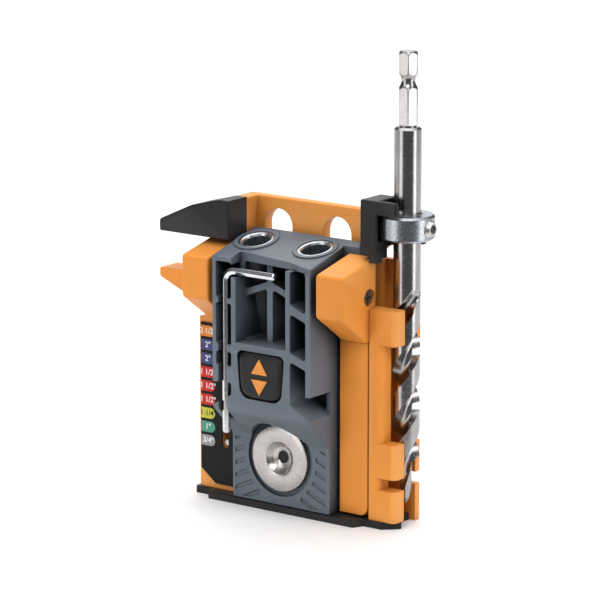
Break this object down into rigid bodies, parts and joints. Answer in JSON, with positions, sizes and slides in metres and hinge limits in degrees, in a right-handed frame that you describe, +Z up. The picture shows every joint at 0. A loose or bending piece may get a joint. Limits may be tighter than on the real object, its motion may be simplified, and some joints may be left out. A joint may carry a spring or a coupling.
{
  "type": "pocket-hole drilling jig",
  "caption": "Self-adjusting pocket-hole jig with steel drill bushings, thickness jaws, screw-length scale and a stored stepped drill bit with stop collar.",
  "frame": {"origin": "underside of the base plate, on the middle plane of the guide block, level with the front of the block's lower plate", "axes": "+Z up along the columns and the stored drill bit, +Y back towards the workpiece, +X right towards the stored drill bit"},
  "size_m": [0.1061, 0.0366, 0.165],
  "materials": {
    "orange_plastic": "fine-textured moulded nylon, satin",
    "gray_plastic": "fine-textured glass-filled nylon, satin",
    "black_plastic": "fine-textured, satin",
    "label_black": "printed semi-gloss",
    "icon_orange": "satin",
    "pointer_white": "satin",
    "bushing_steel": "ground and polished",
    "nickel": "satin nickel plate",
    "drill_steel": "bright ground steel",
    "zinc": "bright zinc plate with a fine spangle",
    "key_steel": "nickel plated",
    "strip_steel": "brushed",
    "screw_steel": "zinc plated",
    "black_screw": "black oxide",
    "pad_rubber": "matte"
  },
  "bodies": {
    "frame": {"main_frame": "orange_plastic", "left_hood": "orange_plastic", "right_hood": "orange_plastic", "base_plate": "black_plastic", "base_screws": "screw_steel", "hood_screws": "black_screw", "label_plate": "label_black", "lock_strip": "strip_steel", "lock_strip_screw": "screw_steel"},
    "guide": {"guide_block": "gray_plastic", "drill_bushing_left": "bushing_steel", "drill_bushing_right": "bushing_steel", "clamp_disc": "nickel", "disc_screw": "screw_steel", "scale_pointer": "pointer_white"},
    "jaw": {"jaw_plate": "orange_plastic", "upper_jaw": "black_plastic", "jaw_screws": "black_screw", "collar_fork": "black_plastic", "fork_screw": "black_screw"},
    "button": {"lock_button": "black_plastic", "button_icon": "icon_orange", "latch_yoke": "black_plastic", "brake_pad": "pad_rubber", "button_spring": "screw_steel"},
    "bit": {"step_drill_bit": "drill_steel"},
    "collar": {"stop_collar": "zinc"},
    "collar_screw": {"collar_set_screw": "screw_steel"},
    "key": {"hex_key": "key_steel"}
  },
  "joints": [
    {"name": "guide_slide", "type": "slide", "parent": "frame", "child": "guide", "axis": [0, 0, 1], "range_m": [0, 0.03976]},
    {"name": "jaw_slide", "type": "slide", "parent": "frame", "child": "jaw", "axis": [0, 0, 1], "range_m": [0, 0.0254]},
    {"name": "button_press", "type": "slide", "parent": "guide", "child": "button", "axis": [0, 1, 0], "range_m": [0, 0.0025], "stiffness_N_per_m": 600, "springref_m": -0.003, "deforming": ["button_spring"]},
    {"name": "bit_release", "type": "slide", "parent": "frame", "child": "bit", "axis": [1, 0, 0], "range_m": [0, 0.035]},
    {"name": "collar_slide", "type": "slide", "parent": "bit", "child": "collar", "axis": [0, 0, 1], "range_m": [0, 0.0254]},
    {"name": "collar_screw_turn", "type": "hinge", "parent": "collar", "child": "collar_screw", "pos_m": [0.048, 0.015, 0.1049], "axis": [1, 0, 0], "range_deg": [0, 720]},
    {"name": "key_release", "type": "slide", "parent": "guide", "child": "key", "axis": [0, -1, 0], "range_m": [0, 0.025]}
  ],
  "couplings": [
    {"joint": "jaw_slide", "follows": "guide_slide", "ratio": 0.6388},
    {"joint": "collar_slide", "follows": "guide_slide", "ratio": 0.6388}
  ]
}
